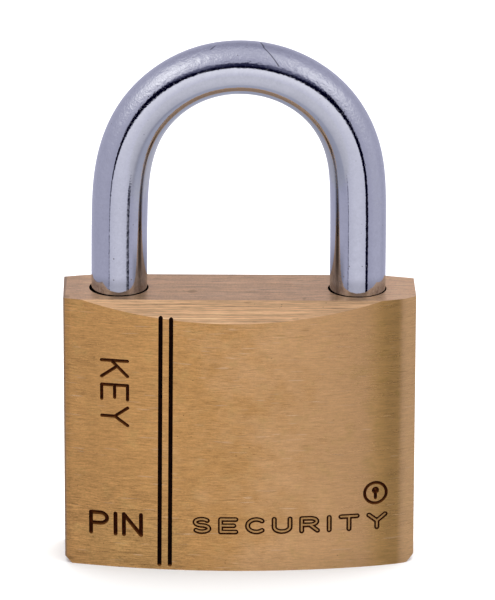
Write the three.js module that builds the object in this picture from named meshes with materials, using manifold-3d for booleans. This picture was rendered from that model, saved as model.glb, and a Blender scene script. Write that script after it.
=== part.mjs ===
// Solid brass padlock with a steel shackle: a five-pin cylinder turns a cam, and the cam draws two bolts out of the shackle's notches.
// Millimetres. Origin at the middle of the body's underside, +Z up towards the shackle, the marked front face looks to -Y.
// The pieces stand closed and unlocked: the plug is turned 90 degrees, both bolts are drawn in and the shackle is down.
import * as THREE from "three";
import { mergeVertices } from "three/addons/utils/BufferGeometryUtils.js";
import Module from "manifold-3d";

const wasm = await Module();
wasm.setup();

// body
const BODY_W = 40;
const BODY_H = 32.2;
const BODY_T = 6.5; // half thickness at the middle
const FACE_R = 73.7; // front and back are crowned across the width
const FRONT_MID = -0.85; // x of the front crown's middle
const TOP_F = 4.48; // depth of the flat top in front of the middle plane
const TOP_B = 4.75; // and behind it
const TOP_CH = 2.19; // height of the front crescent chamfer
const SIDE_CH = 0.8; // bottom side edges
const GROOVE_X = [-9.0, -7.85];
const GROOVE_W = 0.46;
const GROOVE_D = 0.22;
// shackle
const LEG_X = 13.53;
const LEG_R = 3.16;
const BORE_R = 3.34;
const TOE_END = 21.4;
const TOE_BORE_END = 20.3;
const HEEL_END = 6.9;
const HEEL_BORE_END = 2.2;
const COLLAR_TOP = 8.9;
const NECK_R = 1.9;
const NECK_TOP = 21.7;
const NOTCH_FLOOR = 1.6;
const NOTCH_HALF = 2.6;
// bolts
const BOLT_Z = 26.7;
const BOLT_BORE = 2.3;
const BOLT_R = 2.22;
const BOLT_TIP = 10.2;
const BOLT_BACK = 2.5;
const TONGUE = 2.15;
// cylinder
const PLUG_BORE = 4.35;
const PLUG_R = 4.25;
const PLUG_LOW = 0.3;
const PLUG_TOP = 19.5;
const CAM_BORE = 3.4;
const CAM_R = 3.25;
const CAM_LOW = 20.1;
const CAM_TOP = 24.1;
const DRIVE = 0.65;
const DRIVE_R = 0.4;
const PIN_Z = [4.0, 6.8, 9.6, 12.4, 15.2];
const KEY_PIN = [2.6, 3.6, 3.1, 4.1, 2.9];
const CHAMBER_R = 1.1;
const PIN_R = 1.0;
const DRIVER_IN = 4.4;
const DRIVER_OUT = 8.4;
const SPRING_OUT = 15.0;
const CAP_IN = 15.2;

// ---- helpers ----
function solid(geometry) {
  let g = geometry.clone();
  g.deleteAttribute("normal");
  if (g.getAttribute("uv")) g.deleteAttribute("uv");
  g = mergeVertices(g, 1e-4);
  return new wasm.Manifold(
    new wasm.Mesh({
      numProp: 3,
      vertProperties: new Float32Array(g.attributes.position.array),
      triVerts: new Uint32Array(g.index.array),
    }),
  );
}
function back(s) {
  const m = s.getMesh();
  const n = m.numProp;
  const v = new Float32Array(m.numVert * 3);
  for (let i = 0; i < m.numVert; i++) v.set(m.vertProperties.subarray(i * n, i * n + 3), i * 3);
  const g = new THREE.BufferGeometry();
  g.setAttribute("position", new THREE.BufferAttribute(v, 3));
  g.setIndex(new THREE.BufferAttribute(new Uint32Array(m.triVerts), 1));
  g.computeVertexNormals();
  return g;
}
// a cylinder along X, Y or Z from a to b, optionally with chamfered ends
function rod(axis, r, a, b, u, v, seg = 32, ca = 0, cb = 0) {
  const pts = [];
  pts.push(new THREE.Vector2(0, a));
  if (ca > 0) pts.push(new THREE.Vector2(r - ca, a), new THREE.Vector2(r, a + ca));
  else pts.push(new THREE.Vector2(r, a));
  if (cb > 0) pts.push(new THREE.Vector2(r, b - cb), new THREE.Vector2(r - cb, b));
  else pts.push(new THREE.Vector2(r, b));
  pts.push(new THREE.Vector2(0, b));
  const g = new THREE.LatheGeometry(pts, seg);
  g.rotateX(Math.PI / 2); // the lathe's own axis is Y; now it is Z
  if (axis === "z") g.translate(u, v, 0);
  if (axis === "x") {
    g.rotateY(Math.PI / 2);
    g.translate(0, u, v);
  }
  if (axis === "y") {
    g.rotateX(-Math.PI / 2);
    g.translate(u, 0, v);
  }
  return g;
}
function block(x0, x1, y0, y1, z0, z1) {
  return new THREE.BoxGeometry(x1 - x0, y1 - y0, z1 - z0).translate((x0 + x1) / 2, (y0 + y1) / 2, (z0 + z1) / 2);
}
// a polygon in XY extruded along Z
function prism(points, z0, z1) {
  const shape = new THREE.Shape(points.map(([x, y]) => new THREE.Vector2(x, y)));
  return new THREE.ExtrudeGeometry(shape, { depth: z1 - z0, bevelEnabled: false, steps: 1 }).translate(0, 0, z0);
}
// a polygon in YZ extruded along X
function prismX(points, x0, x1) {
  const g = prism(points, x0, x1);
  const m = new THREE.Matrix4().set(0, 0, 1, 0, 1, 0, 0, 0, 0, 1, 0, 0, 0, 0, 0, 1);
  return g.applyMatrix4(m);
}
// a polygon in XZ extruded along Y, points given counter-clockwise seen from -Y
function prismY(points, y0, y1) {
  const g = prism(points, -y1, -y0);
  return g.applyMatrix4(new THREE.Matrix4().set(1, 0, 0, 0, 0, 0, -1, 0, 0, 1, 0, 0, 0, 0, 0, 1));
}
class Coil extends THREE.Curve {
  constructor(r, length, turns) {
    super();
    this.r = r;
    this.length = length;
    this.turns = turns;
  }
  getPoint(t, target = new THREE.Vector3()) {
    const a = 2 * Math.PI * this.turns * t;
    return target.set(this.r * Math.cos(a), this.r * Math.sin(a), this.length * t);
  }
}
// a coil spring about Z whose wire stays between z0 and z1
function spring(outer, wire, z0, z1, turns, perTurn, sides) {
  const path = new Coil(outer - wire, z1 - z0 - 2 * wire, turns);
  const ring = new THREE.Shape();
  for (let i = 0; i < sides; i++) {
    const a = (2 * Math.PI * i) / sides;
    if (i === 0) ring.moveTo(wire * Math.cos(a), wire * Math.sin(a));
    else ring.lineTo(wire * Math.cos(a), wire * Math.sin(a));
  }
  ring.closePath();
  return new THREE.ExtrudeGeometry(ring, { steps: Math.round(turns * perTurn), extrudePath: path, bevelEnabled: false }).translate(0, 0, z0 + wire);
}
const group = new THREE.Group();
group.name = "padlock";
function add(name, geometry, look) {
  const mesh = new THREE.Mesh(geometry, new THREE.MeshStandardMaterial(look));
  mesh.name = name;
  group.add(mesh);
}
const BRASS = { color: 0xb9935a, roughness: 0.38, metalness: 1 };
const BRASS_PALE = { color: 0xc9a878, roughness: 0.34, metalness: 1 };
const CHROME = { color: 0xc7cad2, roughness: 0.12, metalness: 1 };
const STEEL = { color: 0x8d9094, roughness: 0.35, metalness: 1 };
const SPRING = { color: 0xa7aaad, roughness: 0.3, metalness: 1 };

// ---- body ----
const backDepth = (x) => BODY_T - (FACE_R - Math.sqrt(FACE_R * FACE_R - x * x));
const frontDepth = (x) => backDepth(x - FRONT_MID);
const outline = [];
const ARC = 24;
for (let i = 0; i <= ARC; i++) {
  const x = -BODY_W / 2 + (BODY_W * i) / ARC;
  outline.push([x, -frontDepth(x)]);
}
for (let i = ARC; i >= 0; i--) {
  const x = -BODY_W / 2 + (BODY_W * i) / ARC;
  outline.push([x, backDepth(x)]);
}
let body = solid(prism(outline, 0, BODY_H));
for (const s of [-1, 1]) {
  // crescent chamfer along the top of the face: the cut runs past the top and past the face
  const slope = (BODY_T - TOP_F) / TOP_CH;
  const e = 1.5;
  const flat = s > 0 ? TOP_B : TOP_F;
  const tri = [
    [s * (flat - e * slope), BODY_H + e],
    [s * (BODY_T + 0.75 * slope), BODY_H - (BODY_T - flat) / slope - 0.75],
    [s * (BODY_T + 3), BODY_H + e],
  ];
  body = body.subtract(solid(prismX(s > 0 ? tri.slice().reverse() : tri, -21, 21)));
}
for (const s of [-1, 1]) {
  const tri = [
    [s * (BODY_W / 2 - SIDE_CH - 1), -1],
    [s * (BODY_W / 2 + 1), -1],
    [s * (BODY_W / 2 + 1), SIDE_CH + 1],
  ];
  body = body.subtract(solid(prismY(s > 0 ? tri : tri.slice().reverse(), -8, 8)));
}
for (const x of GROOVE_X) {
  const y = -frontDepth(x);
  const w = GROOVE_W / 2;
  const top = BODY_H - TOP_CH + 0.35;
  const shape = [
    [x - w, -1],
    [x + w, -1],
    [x + w, top],
    [x, top + 0.5],
    [x - w, top],
  ];
  body = body.subtract(solid(prismY(shape, y - 1, y + GROOVE_D)));
}
const cuts = [
  rod("z", BORE_R, TOE_BORE_END, BODY_H + 1, -LEG_X, 0, 36),
  rod("z", BORE_R, HEEL_BORE_END, BODY_H + 1, LEG_X, 0, 36),
  rod("x", BOLT_BORE, -BODY_W / 2 - 1, LEG_X, 0, BOLT_Z, 32),
  rod("z", PLUG_BORE, -1, 19.8, 0, 0, 48),
  rod("z", CAM_BORE, 19.7, 25.2, 0, 0, 36),
  rod("y", 0.75, -2.6, 8, 4.3, 18.1, 16),
  rod("y", 0.88, -3.8, 8, 10.73, 20.7, 16),
];
for (const z of PIN_Z) cuts.push(rod("x", CHAMBER_R, -BODY_W / 2 - 1, -3.5, 0, z, 16));
for (const c of cuts) body = body.subtract(solid(c));
add("body", back(body), BRASS);

// ---- shackle ----
// the bend leans a little to the heel side; the legs are straight and parallel below it
const ARCH = [
  [13.53, 0], [13.53, 9.4], [13.49, 12.2], [13.25, 14.95], [12.75, 17.04], [11.92, 19.1], [10.73, 21.04], [9.18, 22.76],
  [7.3, 24.19], [5.17, 25.26], [2.86, 25.94], [0.46, 26.2], [-1.97, 26.03], [-4.33, 25.44], [-6.53, 24.41], [-8.49, 23.0],
  [-10.14, 21.27], [-11.44, 19.31], [-12.38, 17.19], [-13.0, 15.01], [-13.4, 12.2], [-13.53, 9.4], [-13.53, 0],
];
const ringPts = [];
for (let i = 0; i < 24; i++) {
  const a = (2 * Math.PI * (i + 0.5)) / 24;
  ringPts.push(new THREE.Vector2(LEG_R * Math.cos(a), LEG_R * Math.sin(a)));
}
const archPath = new THREE.CatmullRomCurve3(
  ARCH.slice(1, -1).map(([x, z]) => new THREE.Vector3(x, 0, BODY_H + z)),
  false,
  "centripetal",
);
// the bend starts and ends exactly along Z so that it meets the straight legs square
class Bend extends THREE.Curve {
  getPoint(t, target = new THREE.Vector3()) {
    return archPath.getPointAt(t, target);
  }
  getTangent(t, target = new THREE.Vector3()) {
    if (t <= 0) return target.set(0, 0, 1);
    if (t >= 1) return target.set(0, 0, -1);
    return archPath.getTangentAt(t, target);
  }
  getTangentAt(t, target) {
    return this.getTangent(t, target);
  }
  getPointAt(t, target) {
    return this.getPoint(t, target);
  }
}
let shackle = solid(new THREE.ExtrudeGeometry(new THREE.Shape(ringPts), { steps: 38, extrudePath: new Bend(), bevelEnabled: false }));
const legTop = BODY_H + 9.4 + 0.05;
shackle = shackle.add(solid(rod("z", LEG_R, TOE_END, legTop, -LEG_X, 0, 24, 0.5, 0)));
shackle = shackle.add(solid(rod("z", LEG_R, NECK_TOP, legTop, LEG_X, 0, 24)));
shackle = shackle.add(solid(rod("z", NECK_R, COLLAR_TOP - 0.3, NECK_TOP + 0.3, LEG_X, 0, 20)));
shackle = shackle.add(solid(rod("z", LEG_R, HEEL_END, COLLAR_TOP, LEG_X, 0, 24, 0.4, 0)));
const inner = LEG_X - LEG_R;
shackle = shackle.subtract(solid(block(-inner - NOTCH_FLOOR, -inner + 2, -4, 4, BOLT_Z - NOTCH_HALF, BOLT_Z + NOTCH_HALF)));
shackle = shackle.subtract(solid(block(inner - 2, inner + NOTCH_FLOOR, -4, 4, BOLT_Z - NOTCH_HALF, BOLT_Z + NOTCH_HALF)));
add("shackle", back(shackle), CHROME);

// ---- plug, built with its chambers to -X as when locked, then turned ----
const turned = new THREE.Matrix4().makeRotationZ(Math.PI / 2);
let plug = solid(rod("z", PLUG_R, PLUG_LOW, PLUG_TOP, 0, 0, 48, 0.25, 0));
const groove = solid(rod("z", 6, 17.4, 18.8, 0, 0, 16)).subtract(solid(rod("z", 3.58, 17, 19, 0, 0, 36)));
plug = plug.subtract(groove);
plug = plug.add(solid(block(-1.7, 1.7, -0.6, 0.6, PLUG_TOP - 0.2, 21.4)));
// keyway with two wards, open on the side away from the pins
const KEYWAY = [
  [-2.2, -0.35], [-1.0, -0.35], [-1.0, -0.8], [1.7, -0.8], [1.7, -0.2], [2.6, -0.2], [2.6, -0.8], [4.8, -0.8],
  [4.8, 0.8], [1.2, 0.8], [1.2, 0.25], [0.3, 0.25], [0.3, 0.8], [-1.0, 0.8], [-1.0, 0.35], [-2.2, 0.35],
];
plug = plug.subtract(solid(prism(KEYWAY, -1, 16.9)));
for (const z of PIN_Z) plug = plug.subtract(solid(rod("x", CHAMBER_R, -6, 1.0, 0, z, 16)));
add("plug", back(plug).applyMatrix4(turned), BRASS_PALE);

// ---- cam with two drive pins; its slot takes the plug's tail ----
let cam = solid(rod("z", CAM_R, CAM_LOW, CAM_TOP, 0, 0, 36, 0.2, 0.2));
cam = cam.subtract(solid(block(-2.0, 2.0, -0.8, 0.8, CAM_LOW - 1, 21.7).applyMatrix4(turned)));
for (const s of [-1, 1]) cam = cam.add(solid(rod("z", DRIVE_R, CAM_TOP - 0.5, 26.5, -s * DRIVE, s * DRIVE, 16, 0, 0.1)));
add("cam", back(cam), STEEL);

// ---- bolts: round rods with half-round tongues that lie side by side over the cam ----
function bolt() {
  let b = solid(rod("x", BOLT_R, -BOLT_TIP, TONGUE, 0, BOLT_Z, 32, 0.35, 0));
  b = b.subtract(solid(block(-BOLT_BACK, TONGUE + 1, -0.12, 4, BOLT_Z - 4, BOLT_Z + 4)));
  b = b.subtract(solid(block(DRIVE - 0.5, DRIVE + 0.5, -1.5, 1, BOLT_Z - 4, 26.85)));
  return back(b);
}
add("bolt_toe", bolt(), STEEL);
add("bolt_heel", bolt().rotateZ(Math.PI), STEEL);
add("bolt_bore_cap", back(solid(rod("x", BOLT_R, -BODY_W / 2, -17.2, 0, BOLT_Z, 28, 0.1, 0.3))), BRASS);

// ---- five pin stacks ----
PIN_Z.forEach((z, i) => {
  const n = i + 1;
  // key pin: flat with broken edges at the shear line, pointed to the key
  const tip = 4.1 - KEY_PIN[i];
  const key = rod("x", PIN_R, -4.1, -tip, 0, z, 16, 0.2, 0.6);
  add("key_pin_" + n, back(solid(key)).applyMatrix4(turned), BRASS_PALE);
  add("driver_pin_" + n, back(solid(rod("x", PIN_R, -DRIVER_OUT, -DRIVER_IN, 0, z, 16, 0.2, 0.2))), STEEL);
  const coil = spring(0.95, 0.15, 0, SPRING_OUT - DRIVER_OUT - 0.1, 5, 9, 4);
  coil.rotateY(-Math.PI / 2); // +Z to -X
  coil.translate(-DRIVER_OUT - 0.05, 0, z);
  add("driver_spring_" + n, back(solid(coil)), SPRING);
  add("chamber_cap_" + n, back(solid(rod("x", CHAMBER_R - 0.05, -BODY_W / 2, -CAP_IN, 0, z, 16, 0.08, 0.2))), BRASS);
});

// ---- shackle spring and the two retaining pins ----
add("shackle_spring", back(solid(spring(2.9, 0.26, HEEL_BORE_END + 0.1, HEEL_END - 0.1, 5, 14, 6).translate(LEG_X, 0, 0))), SPRING);
add("shackle_retaining_pin", back(solid(rod("y", 0.78, -3.5, backDepth(10.73) - 0.15, 10.73, 20.7, 16, 0.15, 0.1))), STEEL);
add("plug_retaining_pin", back(solid(rod("y", 0.65, -2.4, backDepth(4.3) - 0.15, 4.3, 18.1, 16, 0.15, 0.1))), STEEL);

export default group;
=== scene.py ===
import math

import bmesh
import bpy
import numpy as np
from mathutils import Matrix, Vector

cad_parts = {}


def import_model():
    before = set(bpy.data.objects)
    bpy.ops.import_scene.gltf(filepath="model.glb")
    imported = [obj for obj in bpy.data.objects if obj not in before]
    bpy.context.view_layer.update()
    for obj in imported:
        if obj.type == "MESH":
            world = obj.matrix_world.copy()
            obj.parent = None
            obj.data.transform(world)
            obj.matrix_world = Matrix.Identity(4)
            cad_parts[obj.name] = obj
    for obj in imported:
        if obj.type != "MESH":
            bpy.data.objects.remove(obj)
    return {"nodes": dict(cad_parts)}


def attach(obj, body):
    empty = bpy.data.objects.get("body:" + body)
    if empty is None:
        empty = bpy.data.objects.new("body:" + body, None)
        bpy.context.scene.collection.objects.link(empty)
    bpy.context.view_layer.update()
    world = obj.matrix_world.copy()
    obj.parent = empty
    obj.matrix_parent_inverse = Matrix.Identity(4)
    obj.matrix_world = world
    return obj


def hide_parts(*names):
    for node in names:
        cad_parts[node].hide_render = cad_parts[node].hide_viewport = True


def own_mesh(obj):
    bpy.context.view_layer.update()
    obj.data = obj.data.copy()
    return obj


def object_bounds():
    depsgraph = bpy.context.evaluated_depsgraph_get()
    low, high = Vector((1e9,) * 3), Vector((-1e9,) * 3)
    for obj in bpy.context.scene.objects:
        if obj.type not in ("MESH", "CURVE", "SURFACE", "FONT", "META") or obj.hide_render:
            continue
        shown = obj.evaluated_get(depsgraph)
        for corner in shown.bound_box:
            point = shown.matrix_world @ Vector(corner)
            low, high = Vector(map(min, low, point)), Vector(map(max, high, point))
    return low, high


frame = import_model()
cad_lo, cad_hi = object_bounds()
scene = bpy.context.scene
scene.view_settings.view_transform = "Standard"
scene.view_settings.look = "None"

# ---------------------------------------------------------------- camera
AZ, EL, ROLL = math.radians(0.407), math.radians(18.658), math.radians(0.132)
back = Vector((math.sin(AZ) * math.cos(EL), -math.cos(AZ) * math.cos(EL), math.sin(EL)))
place = Vector((0.938, 0.0, 30.772)) * 0.001 + back * 0.65012
fwd = -back
right = fwd.cross(Vector((0, 0, 1))).normalized()
up = right.cross(fwd)
right2 = right * math.cos(ROLL) + up * math.sin(ROLL)
up2 = up * math.cos(ROLL) - right * math.sin(ROLL)
place = place - up2 * 0.00021 - right2 * 0.00009
cam_data = bpy.data.cameras.new("camera")
cam_data.sensor_width = 36.0
cam_data.lens = 5711.0 * 36.0 / 600.0
cam_data.clip_start, cam_data.clip_end = 0.01, 20.0
cam = bpy.data.objects.new("camera", cam_data)
scene.collection.objects.link(cam)
cam.matrix_world = Matrix((
    (right2.x, up2.x, back.x, place.x),
    (right2.y, up2.y, back.y, place.y),
    (right2.z, up2.z, back.z, place.z),
    (0, 0, 0, 1),
))
scene.camera = cam

# ---------------------------------------------------------------- sizes, in mm as in the CAD
BODY_W, BODY_H, BODY_T, FACE_R, FRONT_MID = 40.0, 32.03, 6.5, 73.7, -0.85
TOP_F, TOP_B, TOP_CH, SIDE_CH = 4.48, 4.75, 2.19, 0.8
LEG_X, LEG_R, BORE_R = 13.53, 3.16, 3.34
TOE_END, TOE_BORE_END, HEEL_END, HEEL_BORE_END = 21.4, 20.3, 6.9, 2.2
COLLAR_TOP, NECK_R, NECK_TOP = 8.9, 1.9, 21.7
BOLT_Z, BOLT_BORE, BOLT_R = 26.7, 2.3, 2.22
PLUG_BORE, PLUG_R, PLUG_LOW, PLUG_TOP = 4.35, 4.25, 0.3, 19.5
CAM_BORE = 3.4
PIN_Z = (4.0, 6.8, 9.6, 12.4, 15.2)
CHAMBER_R = 1.1


def smoothstep(a, b, x):
    t = min(max((x - a) / (b - a), 0.0), 1.0)
    return t * t * (3 - 2 * t)


def front_tilt(x):
    """Angle of the front face's normal to -Y at x: a wide crown that rounds off towards the right-hand edge."""
    t = math.asin((x - FRONT_MID) / FACE_R)
    if x > 14.2:
        t += math.radians(7.0) * ((x - 14.2) / 5.8) ** 1.4 + math.radians(20.0) * smoothstep(18.0, 19.9, x)
    if x < -19.2:
        t -= math.radians(14.0) * smoothstep(-19.2, -20.0, x)
    return t


_xs = np.linspace(-20, 20, 801)
_slope = np.tan([front_tilt(x) for x in _xs])
_step = np.concatenate([[0], np.cumsum((_slope[1:] + _slope[:-1]) / 2 * np.diff(_xs))])
_front = BODY_T - (_step - _step.min())


def half_depth(x):
    return float(np.interp(x, _xs, _front))


def back_depth(x):
    return BODY_T - (FACE_R - math.sqrt(FACE_R * FACE_R - x * x))


# ---------------------------------------------------------------- mesh helpers, all in mm until finish_piece
def new_object(name, mesh):
    o = bpy.data.objects.new(name, mesh)
    scene.collection.objects.link(o)
    return o


def mesh_from(name, verts, faces):
    me = bpy.data.meshes.new(name)
    me.from_pydata([tuple(map(float, v)) for v in verts], [], [tuple(map(int, f)) for f in faces])
    me.update()
    bm = bmesh.new()
    bm.from_mesh(me)
    bmesh.ops.recalc_face_normals(bm, faces=bm.faces)
    bm.to_mesh(me)
    bm.free()
    return me


def lathe(profile, seg, axis="z", centre=(0, 0, 0)):
    """profile: (r, h) pairs from the axis to the axis. A closed solid of revolution about Z, X or Y."""
    verts, rings = [], []
    for r, h in profile:
        if r < 1e-6:
            rings.append([len(verts)])
            verts.append((0, 0, h))
        else:
            ring = []
            for i in range(seg):
                a = 2 * math.pi * i / seg
                ring.append(len(verts))
                verts.append((r * math.cos(a), r * math.sin(a), h))
            rings.append(ring)
    faces = []
    for a, b in zip(rings[:-1], rings[1:]):
        if len(a) == 1 and len(b) == 1:
            continue
        for i in range(seg):
            j = (i + 1) % seg
            if len(a) == 1:
                faces.append((a[0], b[j], b[i]))
            elif len(b) == 1:
                faces.append((a[i], a[j], b[0]))
            else:
                faces.append((a[i], a[j], b[j], b[i]))
    v = np.array(verts, float)
    if axis == "x":
        v = v[:, [2, 0, 1]]
    elif axis == "y":
        v = v[:, [1, 2, 0]]
    v = v + np.array(centre)
    return v, faces


def rod(axis, r, a, b, u, v, seg=48, ca=0.0, cb=0.0):
    p = [(0, a)]
    p += [(r - ca, a), (r, a + ca)] if ca > 0 else [(r, a)]
    p += [(r, b - cb), (r - cb, b)] if cb > 0 else [(r, b)]
    p += [(0, b)]
    c = {"z": (u, v, 0), "x": (0, u, v), "y": (u, 0, v)}[axis]
    return lathe(p, seg, axis, c)


def prism(points, z0, z1, plane="xy"):
    """A polygon in plane xy, xz or yz, extruded along the third axis from z0 to z1."""
    n = len(points)
    verts = [(x, y, z0) for x, y in points] + [(x, y, z1) for x, y in points]
    faces = [tuple(range(n))[::-1], tuple(range(n, 2 * n))]
    faces += [(i, (i + 1) % n, n + (i + 1) % n, n + i) for i in range(n)]
    v = np.array(verts, float)
    if plane == "xz":
        v = v[:, [0, 2, 1]]
    elif plane == "yz":
        v = v[:, [2, 0, 1]]
    return v, faces


def obj(name, vf):
    return new_object(name, mesh_from(name, *vf))


def boolean(target, cutter, how="DIFFERENCE", keep=False, solver="MANIFOLD"):
    m = target.modifiers.new("b", "BOOLEAN")
    m.operation = how
    m.object = cutter
    try:
        m.solver = solver
    except TypeError:
        m.solver = "EXACT"
    if hasattr(m, "material_mode"):
        m.material_mode = "TRANSFER"
    dg = bpy.context.evaluated_depsgraph_get()
    me = bpy.data.meshes.new_from_object(target.evaluated_get(dg), depsgraph=dg)
    old = target.data
    count = len(me.polygons)
    if count == 0 and solver == "MANIFOLD":
        bpy.data.meshes.remove(me)
        target.modifiers.clear()
        return boolean(target, cutter, how, keep, "EXACT")
    target.modifiers.clear()
    target.data = me
    bpy.data.meshes.remove(old)
    if not keep:
        cm = cutter.data
        bpy.data.objects.remove(cutter)
        bpy.data.meshes.remove(cm)
    return target


def bevel_sharp(o, width, segments=2, angle=20.0, test=None):
    bm = bmesh.new()
    bm.from_mesh(o.data)
    bmesh.ops.remove_doubles(bm, verts=bm.verts, dist=1e-4)
    bmesh.ops.dissolve_degenerate(bm, edges=bm.edges, dist=1e-4)
    edges = []
    for e in bm.edges:
        if len(e.link_faces) == 2 and e.calc_face_angle(0) > math.radians(angle):
            if test is None or test(e):
                edges.append(e)
    bmesh.ops.bevel(bm, geom=edges, offset=width, offset_type="OFFSET", segments=segments, profile=0.5, affect="EDGES", clamp_overlap=True)
    bm.to_mesh(o.data)
    bm.free()


def tidy(o, dist=2e-4):
    bm = bmesh.new()
    bm.from_mesh(o.data)
    bmesh.ops.remove_doubles(bm, verts=bm.verts, dist=dist)
    bmesh.ops.dissolve_degenerate(bm, edges=bm.edges, dist=dist)
    bm.to_mesh(o.data)
    bm.free()


def finish_piece(o, body, nodes, mats, sharp=32.0, weighted=True):
    """mm to metres, shading, materials, and its place in the frame."""
    o.data.transform(Matrix.Scale(0.001, 4))
    o.data.shade_smooth()
    if hasattr(o.data, "set_sharp_from_angle"):
        o.data.set_sharp_from_angle(angle=math.radians(sharp))
    if weighted:
        m = o.modifiers.new("weighted", "WEIGHTED_NORMAL")
        m.keep_sharp = True
        m.weight = 60
    if mats:
        o.data.materials.clear() if len(o.data.materials) and len(mats) == 1 else None
        if len(mats) == 1:
            o.data.materials.append(mats[0])
    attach(o, body)
    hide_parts(*nodes)
    return o


# ---------------------------------------------------------------- node graphs
class V:
    """A socket that can be added, multiplied and so on; each step is a Math node."""

    def __init__(self, g, s):
        self.g, self.s = g, s

    def _m(self, op, *others):
        n = self.g.nodes.new("ShaderNodeMath")
        n.operation = op
        self.g.put(n.inputs[0], self)
        for i, o in enumerate(others):
            self.g.put(n.inputs[i + 1], o)
        return V(self.g, n.outputs[0])

    def __add__(self, o): return self._m("ADD", o)
    def __radd__(self, o): return self._m("ADD", o)
    def __sub__(self, o): return self._m("SUBTRACT", o)
    def __rsub__(self, o): return self._m("MULTIPLY", -1.0)._m("ADD", o)
    def __mul__(self, o): return self._m("MULTIPLY", o)
    def __rmul__(self, o): return self._m("MULTIPLY", o)
    def __truediv__(self, o): return self._m("DIVIDE", o)
    def __neg__(self): return self._m("MULTIPLY", -1.0)
    def abs(self): return self._m("ABSOLUTE")
    def sqrt(self): return self._m("SQRT")
    def pow(self, o): return self._m("POWER", o)
    def min(self, o): return self._m("MINIMUM", o)
    def max(self, o): return self._m("MAXIMUM", o)
    def sin(self): return self._m("SINE")
    def arcsin(self): return self._m("ARCSINE")
    def exp(self): return self._m("EXPONENT")
    def atan2(self, o): return self._m("ARCTAN2", o)

    def smooth(self, a, b):
        """0 below a, 1 above b, smooth between; a may be above b."""
        n = self.g.nodes.new("ShaderNodeMapRange")
        n.interpolation_type = "SMOOTHSTEP"
        self.g.put(n.inputs["Value"], self)
        if isinstance(a, (int, float)) and isinstance(b, (int, float)) and a > b:
            for k, x in (("From Min", b), ("From Max", a), ("To Min", 1.0), ("To Max", 0.0)):
                n.inputs[k].default_value = x
        else:
            for k, x in (("From Min", a), ("From Max", b), ("To Min", 0.0), ("To Max", 1.0)):
                self.g.put(n.inputs[k], x)
        return V(self.g, n.outputs["Result"])


class G:
    def __init__(self, tree):
        self.tree, self.nodes, self.links = tree, tree.nodes, tree.links
        self.nodes.clear()

    def put(self, socket, value):
        if isinstance(value, V):
            self.links.new(value.s, socket)
        elif isinstance(value, bpy.types.NodeSocket):
            self.links.new(value, socket)
        else:
            socket.default_value = value

    def split(self, vec):
        n = self.nodes.new("ShaderNodeSeparateXYZ")
        self.put(n.inputs[0], vec)
        return [V(self, n.outputs[i]) for i in range(3)]

    def join(self, x, y, z):
        n = self.nodes.new("ShaderNodeCombineXYZ")
        for i, v in enumerate((x, y, z)):
            self.put(n.inputs[i], v)
        return V(self, n.outputs[0])

    def noise(self, vec, scale=1.0, detail=2.0, rough=0.5, colour=False):
        n = self.nodes.new("ShaderNodeTexNoise")
        self.put(n.inputs["Vector"], vec)
        n.inputs["Scale"].default_value = scale
        n.inputs["Detail"].default_value = detail
        n.inputs["Roughness"].default_value = rough
        return V(self, n.outputs["Color" if colour else "Fac"])

    def voronoi(self, vec, scale=1.0, rand=1.0, out="Distance"):
        n = self.nodes.new("ShaderNodeTexVoronoi")
        self.put(n.inputs["Vector"], vec)
        n.inputs["Scale"].default_value = scale
        n.inputs["Randomness"].default_value = rand
        return V(self, n.outputs[out])

    def mix(self, fac, a, b, blend="MIX"):
        n = self.nodes.new("ShaderNodeMix")
        n.data_type = "RGBA"
        n.blend_type = blend
        n.clamp_factor = True
        self.put(n.inputs["Factor"], fac)
        for i, v in ((6, a), (7, b)):
            if isinstance(v, (tuple, list)):
                n.inputs[i].default_value = (*v[:3], 1.0)
            else:
                self.put(n.inputs[i], v)
        return V(self, n.outputs[2])

    def scale_colour(self, colour, f):
        """colour times the scalar f"""
        n = self.nodes.new("ShaderNodeVectorMath")
        n.operation = "SCALE"
        if isinstance(colour, (tuple, list)):
            n.inputs[0].default_value = colour[:3]
        else:
            self.put(n.inputs[0], colour)
        self.put(n.inputs["Scale"], f)
        return V(self, n.outputs[0])

    def bump(self, height, distance, strength=1.0, normal=None):
        n = self.nodes.new("ShaderNodeBump")
        n.inputs["Strength"].default_value = strength
        n.inputs["Distance"].default_value = distance
        self.put(n.inputs["Height"], height)
        if normal is not None:
            self.put(n.inputs["Normal"], normal)
        return V(self, n.outputs[0])


def material(name):
    m = bpy.data.materials.new(name)
    m.use_nodes = True
    g = G(m.node_tree)
    out = g.nodes.new("ShaderNodeOutputMaterial")
    b = g.nodes.new("ShaderNodeBsdfPrincipled")
    g.links.new(b.outputs[0], out.inputs["Surface"])
    tc = g.nodes.new("ShaderNodeTexCoord")
    n = g.nodes.new("ShaderNodeVectorMath")
    n.operation = "SCALE"
    n.inputs["Scale"].default_value = 1000.0
    g.links.new(tc.outputs["Object"], n.inputs[0])
    return m, g, b, V(g, n.outputs[0]), tc


# ---------------------------------------------------------------- brass of the body
def bell(v, mid, low, high):
    """1 at mid, falling off as a Gaussian of width low below it and high above it."""
    d = v - mid
    w = d.smooth(-0.001, 0.001) * (high - low) + low
    return ((d / w).pow(2.0) * -1.0).exp()


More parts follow.
